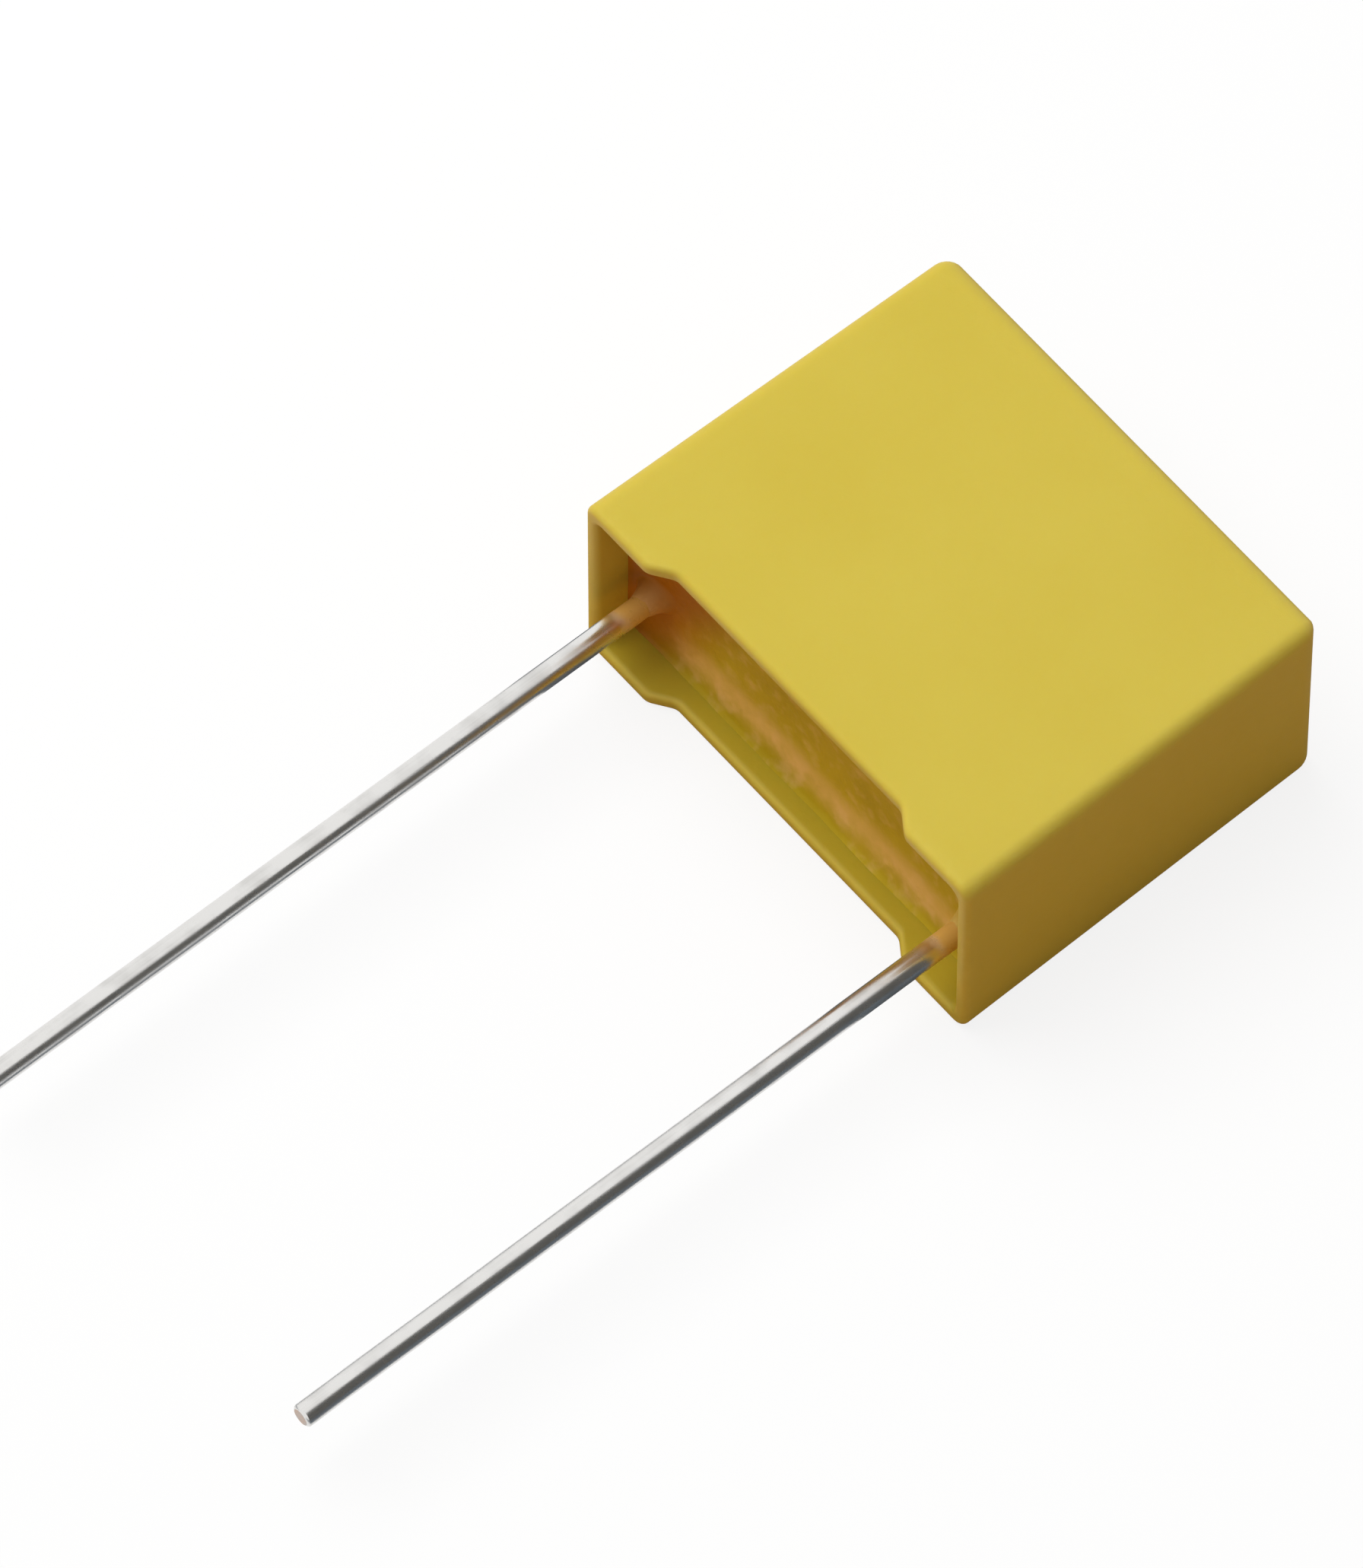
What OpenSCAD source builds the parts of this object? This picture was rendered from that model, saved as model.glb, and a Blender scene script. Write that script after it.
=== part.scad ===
// Radial box-type film capacitor with two straight leads.
// It lies on one broad face: X runs along the lead spacing, the leads point along -Y
// and Z is the thickness. The origin is the middle of the lower broad face.

/* [Box] */
// Distance between the two lead axes
lead_pitch = 15; // [10:0.5:27.5]
// Distance from a lead axis to the outer face of the nearer end wall
end_margin = 1.5; // [1.4:0.05:2]
// Height of the box, from the seating plane to the closed end
box_h = 14.5; // [11:0.5:25]
// Thickness of the box, from one broad face to the other
box_t = 8.5; // [6.5:0.5:14]
// Thickness of the two short end walls
end_wall = 0.5; // [0.3:0.05:0.53]
// Thickness of the two broad walls
broad_wall = 0.6; // [0.4:0.05:1]
// Thickness of the closed end
base_wall = 0.7; // [0.5:0.05:1.2]
// Radius of the outer edges
edge_r = 0.7; // [0.3:0.05:1]
// Radius of the inner edges along the height
cavity_r = 0.35; // [0.15:0.05:0.4]
// Draft of the two short ends, in degrees: they lean in towards the closed end
end_draft = 1; // [0:0.25:1.5]

/* [Stand-off feet] */
// Depth of the notch between the feet, in both broad walls
notch_depth = 0.55; // [0.2:0.05:0.7]
// Length of a foot, from the outer end face to where its ramp starts
foot_l = 2.9; // [2:0.1:4]
// Length of the ramp from a foot down into the notch
foot_ramp = 0.8; // [0.2:0.1:1.2]

/* [Potting resin] */
// Depth of the resin surface behind the seating plane
resin_depth = 1.4; // [1.3:0.05:2]
// Height and radius of the fillet where the resin wets the walls
meniscus_r = 0.45; // [0.2:0.05:0.45]
// Height of the resin cone that climbs each lead
collar_h = 0.75; // [0.4:0.05:0.8]
// Radius of that cone at the resin surface
collar_r = 0.8; // [0.6:0.05:0.9]
// Thickness of the cone's tip around the wire
collar_lip = 0.03; // [0.02:0.01:0.1]
// Length of round wire held by the cone's tip
collar_grip = 0.15; // [0.1:0.05:0.3]
// Resin cover between its surface and the wound element
resin_cover = 0.9; // [0.6:0.05:1.5]

/* [Leads] */
// Wire diameter
lead_d = 0.8; // [0.5:0.05:1]
// Free length of a lead beyond the seating plane
lead_free = 25; // [4:1:30]
// Height of the lead axes above the lower broad face
lead_z = 3.1; // [2.4:0.1:4.5]
// Bevel on the cut tip
tip_bevel = 0.1; // [0.05:0.01:0.2]
// Thickness of the flattened inner end
paddle_t = 0.4; // [0.3:0.05:0.5]
// Width of the flattened inner end
paddle_w = 1.2; // [1:0.1:1.5]
// Length of the flattened end beside the end spray
paddle_l = 7; // [4:0.5:8]

/* [Wound element] */
// Resin gap between the element and each broad wall
roll_gap = 0.35; // [0.2:0.05:0.8]
// Resin gap between the element and the closed end
base_gap = 0.3; // [0.2:0.05:1]
// Thickness of the sprayed end contact
spray_t = 0.45; // [0.2:0.05:0.6]
// Thickness of the plain film turns around the roll
wrap_t = 0.15; // [0.05:0.05:0.3]

/* [Hidden] */
$fn = 48;
over = broad_wall / 20; // how far a cutter passes the face that it opens

box_l = lead_pitch + 2 * end_margin;
seat_y = -box_h / 2;
top_y = box_h / 2;

cavity_l = box_l - 2 * end_wall;
cavity_t = box_t - 2 * broad_wall;
cavity_end_y = top_y - base_wall;

resin_y = seat_y + resin_depth;          // level surface of the resin
wetted_y = resin_y - meniscus_r;         // where the fillet meets the walls
collar_y = resin_y - collar_h;           // tip of the cone on a lead
wire_y = collar_y + collar_grip;         // where the round wire begins
lead_end_y = seat_y - lead_free;

roll_t = cavity_t - 2 * roll_gap;
roll_front_y = resin_y + resin_cover;
roll_back_y = cavity_end_y - base_gap;
roll_h = roll_back_y - roll_front_y;
roll_y = (roll_front_y + roll_back_y) / 2;
roll_z = box_t / 2;
spray_face_x = lead_pitch / 2 - paddle_t / 2;
roll_l = 2 * (spray_face_x - spray_t);

notch_l = box_l - 2 * (foot_l + foot_ramp);

// Shape drawn in X and Z, extruded along +Y from y0 over length h.
module along_y(y0, h) {
    translate([0, y0 + h, 0]) rotate([90, 0, 0]) linear_extrude(h) children();
}

// Shape drawn in Y and Z, extruded along +X from x0 over length l.
module along_x(x0, l) {
    translate([x0, 0, 0]) rotate([90, 0, 90]) linear_extrude(l) children();
}

// How far a short end has leaned in at y, from its length at the seating plane.
function lean_in(y) = (y - seat_y) * tan(end_draft);

// Prism along Y with round long edges: its short ends lean in from length l at the seating plane.
module leaning_prism(l, t, y0, y1, r) {
    past = t / 2;
    intersection() {
        for (side = [0, 1])
            mirror([side, 0, 0])
                translate([l / 2, seat_y, 0]) rotate([0, 0, end_draft])
                    along_y(y0 - seat_y - past, y1 - y0 + 2 * past) {
                        translate([-l * 3 / 4, -t / 2]) square([l * 3 / 4 - r, t]);
                        translate([-l * 3 / 4, r - t / 2]) square([l * 3 / 4, t - 2 * r]);
                        for (s = [-1, 1]) translate([-r, s * (t / 2 - r)]) circle(r);
                    }
        translate([-l, y0, -t]) cube([2 * l, y1 - y0, 2 * t]);
    }
}

// Plan view in X and Y: the short ends lean in from length l at the seating plane, and the
// two corners at the far side y1 are round.
module plan_outline(l, y0, y1, r) {
    ye = y1 - r;
    xe = l / 2 - lean_in(ye) - r / cos(end_draft);
    tip_x = xe + r * cos(end_draft);
    tip_y = ye + r * sin(end_draft);
    face_x = l / 2 - lean_in(y0);
    polygon([[-face_x, y0], [face_x, y0], [tip_x, tip_y], [xe, ye],
             [xe, y1], [-xe, y1], [-xe, ye], [-tip_x, tip_y]]);
    for (s = [-1, 1]) translate([s * xe, ye]) circle(r);
}

// Side view in Y and Z, centred on Z, with the two corners at the far side y1 round.
module side_outline(t, y0, y1, r) {
    translate([y0, -t / 2]) square([y1 - y0 - r, t]);
    translate([y0, r - t / 2]) square([y1 - y0, t - 2 * r]);
    for (s = [-1, 1]) translate([y1 - r, s * (t / 2 - r)]) circle(r);
}

// Straight round bar along Y, from y0 to y1.
module bar_y(x, z, y0, y1, r0, r1) {
    translate([x, y0, z]) rotate([-90, 0, 0]) cylinder(r1 = r0, r2 = r1, h = y1 - y0);
}

// Flattened roll outline in Y and Z, grown by g.
module roll_outline(g) {
    r = roll_t / 2 + g;
    reach = roll_h / 2 - roll_t / 2;
    translate([roll_y, roll_z]) {
        square([2 * reach, 2 * r], center = true);
        for (s = [-1, 1]) translate([s * reach, 0]) circle(r);
    }
}

// The notch that leaves a foot at each short end of the rim.
module rim_notch() {
    half = notch_l / 2;
    slope = foot_ramp / notch_depth;
    linear_extrude(box_t + 2 * over)
        polygon([[-half, notch_depth], [half, notch_depth],
                 [half + slope * (notch_depth + over), -over],
                 [-half - slope * (notch_depth + over), -over]]);
}

module case() {
    color("gold")
    difference() {
        translate([0, 0, box_t / 2]) intersection() {
            leaning_prism(box_l, box_t, seat_y, top_y, edge_r);
            translate([0, 0, -box_t]) linear_extrude(2 * box_t)
                plan_outline(box_l, seat_y - over, top_y, edge_r);
            along_x(-box_l, 2 * box_l) side_outline(box_t, seat_y - over, top_y, edge_r);
        }
        translate([0, 0, box_t / 2])
            leaning_prism(cavity_l, cavity_t, seat_y - over, cavity_end_y, cavity_r);
        translate([0, seat_y, -over]) rim_notch();
    }
}

// Everything that the resin flows around.
module potted_parts() {
    along_x(-spray_face_x, 2 * spray_face_x) roll_outline(0);
    for (side = [-1, 1]) lead(side);
}

module resin_fill() {
    color("peru")
    difference() {
        union() {
            difference() {
                translate([0, 0, box_t / 2])
                    leaning_prism(cavity_l, cavity_t, wetted_y, cavity_end_y, cavity_r);
                translate([0, 0, box_t / 2]) intersection() {
                    translate([0, 0, -box_t]) linear_extrude(2 * box_t)
                        plan_outline(cavity_l + 2 * over, seat_y, resin_y, meniscus_r);
                    along_x(-box_l, 2 * box_l)
                        side_outline(cavity_t + 2 * over, seat_y, resin_y, meniscus_r);
                }
            }
            for (side = [-1, 1])
                bar_y(side * lead_pitch / 2, lead_z, collar_y, resin_y + over,
                      lead_d / 2 + collar_lip, collar_r);
        }
        potted_parts();
    }
}

module film_winding() {
    color("gainsboro")
    along_x(-roll_l / 2, roll_l) roll_outline(-wrap_t);
}

module wrap_film() {
    color("lightyellow")
    along_x(-roll_l / 2, roll_l)
        difference() {
            roll_outline(0);
            roll_outline(-wrap_t);
        }
}

// Sprayed metal on one end of the roll: side is -1 for left, 1 for right.
module end_spray(side) {
    color("darkgray")
    along_x(side < 0 ? -spray_face_x : roll_l / 2, spray_t) roll_outline(0);
}

// Outline of the flattened inner end in Y and Z: it widens from the wire to its full width.
module paddle_outline() {
    r = lead_d / 2;
    w = paddle_w / 2;
    tip_y = roll_front_y + paddle_l;
    polygon([[wire_y, -r], [roll_front_y, -w], [tip_y - w, -w], [tip_y, -r],
             [tip_y, r], [tip_y - w, w], [roll_front_y, w], [wire_y, r]]);
}

// Round wire with a flattened end that is welded to the end spray.
module lead(side) {
    x = side * lead_pitch / 2;
    r = lead_d / 2;
    color("silver") {
        bar_y(x, lead_z, lead_end_y + tip_bevel, wire_y, r, r);
        bar_y(x, lead_z, lead_end_y, lead_end_y + tip_bevel, r - tip_bevel, r);
        translate([0, 0, lead_z]) along_x(x - paddle_t / 2, paddle_t) paddle_outline();
    }
}

module end_spray_left() { end_spray(-1); }
module end_spray_right() { end_spray(1); }
module lead_left() { lead(-1); }
module lead_right() { lead(1); }

case();
resin_fill();
film_winding();
wrap_film();
end_spray_left();
end_spray_right();
lead_left();
lead_right();
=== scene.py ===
import math

import bmesh
import bpy
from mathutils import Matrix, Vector, noise


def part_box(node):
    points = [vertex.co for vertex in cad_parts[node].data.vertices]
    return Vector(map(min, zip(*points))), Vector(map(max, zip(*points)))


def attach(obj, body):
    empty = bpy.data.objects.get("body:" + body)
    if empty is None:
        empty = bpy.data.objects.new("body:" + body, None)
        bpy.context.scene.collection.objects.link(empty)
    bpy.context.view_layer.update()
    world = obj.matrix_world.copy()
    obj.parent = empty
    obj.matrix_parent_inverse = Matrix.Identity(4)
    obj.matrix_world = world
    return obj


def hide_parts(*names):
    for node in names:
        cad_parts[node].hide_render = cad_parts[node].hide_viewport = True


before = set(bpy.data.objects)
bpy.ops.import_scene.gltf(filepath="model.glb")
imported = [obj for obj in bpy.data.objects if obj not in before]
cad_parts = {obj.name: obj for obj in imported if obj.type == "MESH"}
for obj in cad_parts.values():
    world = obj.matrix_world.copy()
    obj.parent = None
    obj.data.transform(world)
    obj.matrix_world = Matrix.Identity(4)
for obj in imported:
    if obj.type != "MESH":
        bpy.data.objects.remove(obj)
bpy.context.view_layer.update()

mm = 0.001
caseLow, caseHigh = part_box("case")
resinLow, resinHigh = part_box("resin_fill")
middleZ = (caseLow.z + caseHigh.z) / 2
seatY = caseLow.y          # seating plane, with the open side towards -Y
closedY = caseHigh.y       # outer face of the closed end
weldDistance = 0.0001 * mm
smoothBelow = 50           # degrees between two faces that still shade as one


# Small helpers for numbers, meshes and nodes.
def clamp(value, low=0.0, high=1.0):
    return max(low, min(high, value))


def steps(low, high, step):
    count = max(1, round((high - low) / step))
    return [low + (high - low) * i / count for i in range(count + 1)]


# Stations from low to high: coarse, but fine within reach of each place in fineAt.
def gradedSteps(low, high, coarse, fine, fineAt, reach):
    marks = [low]
    for place in sorted(fineAt):
        marks += [max(low, place - reach), min(high, place + reach)]
    marks.append(high)
    line = [low]
    for i, (a, b) in enumerate(zip(marks, marks[1:])):
        if b > a:
            line += steps(a, b, fine if i % 2 else coarse)[1:]
    return line


def addPiece(name, mesh):
    piece = bpy.data.objects.new(name, mesh)
    bpy.context.scene.collection.objects.link(piece)
    return piece


def mergeAndTurnOut(build):
    bmesh.ops.remove_doubles(build, verts=build.verts, dist=weldDistance)
    bmesh.ops.recalc_face_normals(build, faces=build.faces)


def finishMesh(name, build):
    mergeAndTurnOut(build)
    mesh = bpy.data.meshes.new(name)
    build.to_mesh(mesh)
    build.free()
    mesh.polygons.foreach_set("use_smooth", [True] * len(mesh.polygons))
    mesh.set_sharp_from_angle(angle=math.radians(smoothBelow))
    return mesh


# Closed tube through rings of equal length, with a flat face on its two ends.
def loftRings(name, rings):
    build = bmesh.new()
    rows = [[build.verts.new(point) for point in ring] for ring in rings]
    for near, far in zip(rows, rows[1:]):
        for i in range(len(near)):
            j = (i + 1) % len(near)
            build.faces.new((near[i], near[j], far[j], far[i]))
    build.faces.new(rows[0])
    build.faces.new(rows[-1])
    return finishMesh(name, build)


def addNode(tree, kind, inputs=None, **settings):
    node = tree.nodes.new(kind)
    for key, value in settings.items():
        setattr(node, key, value)
    for key, value in (inputs or {}).items():
        if isinstance(value, bpy.types.NodeSocket):
            tree.links.new(value, node.inputs[key])
        else:
            node.inputs[key].default_value = value
    return node


def calc(tree, operation, *values):
    inputs = dict(enumerate(values))
    return addNode(tree, "ShaderNodeMath", inputs, operation=operation).outputs[0]


def vectorCalc(tree, operation, *values):
    inputs = dict(enumerate(values))
    return addNode(tree, "ShaderNodeVectorMath", inputs, operation=operation).outputs[0]


def remap(tree, value, low, high, toLow, toHigh, curve="LINEAR"):
    inputs = {"Value": value, "From Min": low, "From Max": high,
              "To Min": toLow, "To Max": toHigh}
    node = addNode(tree, "ShaderNodeMapRange", inputs, interpolation_type=curve)
    return node.outputs["Result"]


# Sockets 6 and 7 of a Mix node are its two colours, and output 2 is the colour result.
def mixColour(tree, factor, first, second):
    node = addNode(tree, "ShaderNodeMix", {0: factor, 6: first, 7: second}, data_type="RGBA")
    return node.outputs[2]


# The moulded box is one loft: closed end, walls, notched rim, cavity.
boxForm = {
    "edgeRadius": 0.7 * mm,    # round the closed end
    "sideRadius": 0.52 * mm,   # the four long edges are a little crisper
    "cavityRadius": 0.35 * mm,
    "rimRadius": 0.23 * mm,    # soft break on the moulded rim
    "endWall": 0.5 * mm,
    "endDraft": 1.0,           # degrees by which the short ends lean in
    "footLength": 2.9 * mm,
    "footRamp": 0.8 * mm,
    "notchDepth": 0.55 * mm,
    "notchBlend": 0.14 * mm,   # how far the ramp's two ends are blended
    "sink": 0.03 * mm,         # the broad walls sink in by this at their middle
    "straightX": 7.7 * mm,     # half of the stretch of wall that all rings share
    "straightZ": 3.1 * mm,
    "wallStep": 0.5 * mm,      # between points along a ring
    "skinStep": 1.0 * mm,      # between rings of the outer skin
    "cavityStep": 2.0 * mm,
    "rampStep": 0.06 * mm,
    "rimBand": 0.08 * mm,      # flat band kept beside the rim's break
    "faceInset": 1.2,          # of the edge radius, from which the closed end is one flat face
    "blendSamples": 9,
    "cornerSegments": 9,
    "rimSegments": 6,
}
halfLength = caseHigh.x
halfThickness = (caseHigh.z - caseLow.z) / 2
cavityLength = halfLength - boxForm["endWall"]           # half length at the seating plane
cavityThickness = (resinHigh.z - resinLow.z) / 2         # half thickness
rampEndX = halfLength - boxForm["footLength"]            # outer end of the ramp


def leanIn(y):
    return math.tan(math.radians(boxForm["endDraft"])) * (y - seatY)


def notchRise(x):
    blend, samples = boxForm["notchBlend"], boxForm["blendSamples"]
    rise = 0
    for k in range(samples):
        shift = blend * (2 * k / (samples - 1) - 1)
        rise += clamp((rampEndX - abs(x) + shift) / boxForm["footRamp"])
    return boxForm["notchDepth"] * rise / samples


# One ring round the box: a rounded rectangle of the given half size at the seating
# plane. yOf gives its height above each x.
def boxRing(halfX, halfZ, radius, yOf, sink=0.0):
    cornerX, cornerZ = halfX - radius - leanIn(yOf(halfLength)), halfZ - radius
    rampMiddle = rampEndX - boxForm["footRamp"] / 2
    wallX = gradedSteps(-boxForm["straightX"], boxForm["straightX"], boxForm["wallStep"],
                        boxForm["rampStep"], [-rampMiddle, rampMiddle], boxForm["footRamp"])
    wallZ = steps(-boxForm["straightZ"], boxForm["straightZ"], boxForm["wallStep"])
    turn = [i / boxForm["cornerSegments"] for i in range(boxForm["cornerSegments"] + 1)]
    outline = []
    for signX, signZ in ((1, 1), (1, -1), (-1, -1), (-1, 1)):
        afterBroadWall = signX == signZ
        if afterBroadWall:
            for x in wallX:
                outline.append((x * signX, (cornerZ + radius) * signZ, 1))
        else:
            for z in wallZ:
                outline.append(((cornerX + radius) * signX, -z * signX, 0))
        for share in turn:
            angle = math.radians(90 * (1 - share if afterBroadWall else share))
            outline.append(((cornerX + radius * math.cos(angle)) * signX,
                            (cornerZ + radius * math.sin(angle)) * signZ, 0))
    ring = []
    for x, z, broad in outline:
        y = yOf(x)
        fromMiddle = (2 * y - seatY - closedY) / (closedY - seatY)
        bowl = clamp((1 - (x / cornerX) ** 2) * (1 - fromMiddle ** 2))
        ring.append((x, y, middleZ + z - math.copysign(broad * sink * bowl, z)))
    return ring


def makeBoxMesh():
    edge, side, rim = boxForm["edgeRadius"], boxForm["sideRadius"], boxForm["rimRadius"]
    inner, sink, band = boxForm["cavityRadius"], boxForm["sink"], boxForm["rimBand"]
    quarter = [math.radians(90 * k / boxForm["cornerSegments"])
               for k in range(boxForm["cornerSegments"] + 1)]
    rimQuarter = [math.radians(90 * k / boxForm["rimSegments"])
                  for k in range(boxForm["rimSegments"] + 1)]
    rings = []

    # An inset moves a ring of the outer skin inwards, and one of the cavity out into the wall.
    def outer(yOf, inset=0.0, hollow=sink):
        rings.append(boxRing(halfLength - inset, halfThickness - inset,
                             max(side - inset, 0.0), yOf, hollow))

    def cavity(yOf, inset=0.0):
        rings.append(boxRing(cavityLength + inset, cavityThickness + inset, inner + inset, yOf))

    def alongRim(lift):
        return lambda x: seatY + notchRise(x) + lift

    outer(lambda _: closedY, edge * boxForm["faceInset"], 0.0)
    for angle in quarter:
        outer(lambda _: closedY - edge * (1 - math.cos(angle)), edge * (1 - math.sin(angle)), 0.0)
    outer(lambda _: closedY - edge - band)
    for y in steps(closedY - 2 * edge, seatY + 2 * boxForm["footRamp"], boxForm["skinStep"]):
        outer(lambda _: y)
    outer(alongRim(boxForm["wallStep"]))
    outer(alongRim(rim + band))
    for angle in rimQuarter:
        outer(alongRim(rim * (1 - math.sin(angle))), rim * (1 - math.cos(angle)))
    for angle in reversed(rimQuarter):
        cavity(alongRim(rim * (1 - math.sin(angle))), rim * (1 - math.cos(angle)))
    cavity(alongRim(rim + band))
    for y in steps(seatY + 2 * boxForm["notchDepth"], resinHigh.y, boxForm["cavityStep"]):
        cavity(lambda _: y)
    return loftRings("mouldedBox", rings)


# The potting resin is a fine sheet that dishes between the walls, creeps up them
# and wets both leads, closed behind by plain sides and a back.
resinForm = {
    "level": 1.4 * mm,         # from the seating plane to the surface beside the walls
    "dish": 0.5 * mm,          # how much deeper the middle has set
    "dishFlatness": 6,         # how far along the box the dish stays even
    "creep": 0.15 * mm,        # how high it climbs the walls
    "creepReach": 0.1 * mm,
    "collarHeight": 0.72 * mm,
    "collarReach": 0.42 * mm,
    "collarPower": 2.2,
    "unevenness": 0.05 * mm,
    "wanderScale": 0.35,       # waves per mm along the surface
    "rippleScale": 1.1,
    "rippleShare": 0.35,
    "wettingScale": 0.6,
    "wettingChange": 0.2,      # share by which the creep varies along the walls
    "rippleShift": (7, 3, 0),  # takes each wave from its own part of the noise
    "wettingShift": (0, 11, 0),
    "clearance": 0.004 * mm,   # keeps its sides off the cavity's walls
    "fine": 0.05 * mm,
    "coarse": 0.16 * mm,
    "fineBand": 0.9 * mm,
}
leadBoxes = {"left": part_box("lead_left"), "right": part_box("lead_right")}
leadX = (leadBoxes["right"][0].x + leadBoxes["right"][1].x) / 2
leadZ = (leadBoxes["right"][0].z + leadBoxes["right"][1].z) / 2
leadRadius = (leadBoxes["right"][1].x - leadBoxes["right"][0].x) / 2
resinY = seatY + resinForm["level"]
resinHalfX = cavityLength - leanIn(resinY) - resinForm["clearance"]
resinHalfZ = cavityThickness - resinForm["clearance"]


# Rounds off the grid's corners to the arc of the cavity's corner.
def intoCavity(x, z):
    radius = boxForm["cavityRadius"]
    a = clamp((abs(x) - resinHalfX + radius) / radius)
    b = clamp((abs(z) - resinHalfZ + radius) / radius)
    if a > 0 and b > 0:
        x = math.copysign(resinHalfX - radius + radius * a * math.sqrt(1 - b * b / 2), x)
        z = math.copysign(resinHalfZ - radius + radius * b * math.sqrt(1 - a * a / 2), z)
    return x, z


def resinSurfaceY(x, z):
    place = Vector((x, z, 0)) / mm
    wander = noise.noise(place * resinForm["wanderScale"])
    ripple = noise.noise(place * resinForm["rippleScale"] + Vector(resinForm["rippleShift"]))
    y = resinY - resinForm["unevenness"] * (wander + resinForm["rippleShare"] * ripple)
    alongBox = 1 - (x / resinHalfX) ** resinForm["dishFlatness"]
    y += resinForm["dish"] * (1 - (z / resinHalfZ) ** 2) * alongBox
    toWall = max(0.0, min(resinHalfX - abs(x), resinHalfZ - abs(z)))
    change = noise.noise(place * resinForm["wettingScale"] + Vector(resinForm["wettingShift"]))
    wetting = 1 - resinForm["wettingChange"] * (1 - change)
    y -= resinForm["creep"] * wetting * math.exp(-toWall / resinForm["creepReach"])
    for side in (-1, 1):
        away = math.hypot(x - side * leadX, z + middleZ - leadZ) - leadRadius
        share = clamp(1 - away / resinForm["collarReach"])
        y -= resinForm["collarHeight"] * share ** resinForm["collarPower"]
    return max(y, resinLow.y)


def makeResinMesh():
    fine, coarse, band = resinForm["fine"], resinForm["coarse"], resinForm["fineBand"]
    lineX = gradedSteps(-resinHalfX, resinHalfX, coarse, fine, [-leadX, leadX], resinHalfX - leadX)
    lineZ = gradedSteps(-resinHalfZ, resinHalfZ, coarse, fine,
                        [band - resinHalfZ, leadZ - middleZ, resinHalfZ - band], band)
    build = bmesh.new()
    grid = []
    for x in lineX:
        row = []
        for z in sorted(set(lineZ)):
            px, pz = intoCavity(x, z)
            row.append(build.verts.new((px, resinSurfaceY(px, pz), middleZ + pz)))
        grid.append(row)
    for near, far in zip(grid, grid[1:]):
        for i in range(len(near) - 1):
            build.faces.new((near[i], near[i + 1], far[i + 1], far[i]))
    border = [row[0] for row in grid] + grid[-1][1:] + [row[-1] for row in grid[-2::-1]]
    border += grid[0][-2:0:-1]
    narrowing = 1 - (leanIn(resinHigh.y) - leanIn(resinY)) / resinHalfX
    backY = resinHigh.y - resinForm["clearance"]
    back = [build.verts.new((v.co.x * narrowing, backY, v.co.z)) for v in border]
    for i in range(len(border)):
        j = (i + 1) % len(border)
        build.faces.new((border[i], border[j], back[j], back[i]))
    build.faces.new(back)
    return finishMesh("pottingResin", build)


# Both leads come out of one node tree: a wire along a route, with a sheared tip
# and an inner end that is pressed flat for the weld.
leadForm = {
    "sides": 40,
    "tipBevel": 0.1 * mm,
    "bevelPower": 1.6,
    "bevelSteps": 4,
    "neckStart": -6.45 * mm,         # where the wire begins to flatten
    "neckEnd": -4.95 * mm,
    "flatThickness": 0.38 * mm,
    "flatWidth": 1.18 * mm,
    "waver": 0.012 * mm,             # the wire is never quite straight
    "waverScale": 0.2,               # waves per mm along the wire
    "waverFade": (4 * mm, 2 * mm),   # from the seating plane and from the tip
    "step": 0.4 * mm,
    "neckStep": 0.15 * mm,
    "tipClearance": 0.002 * mm,
    "cutFacing": -0.95,              # faces that look this far along Y are the sheared end
    "sharpAngle": 40,
}


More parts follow.
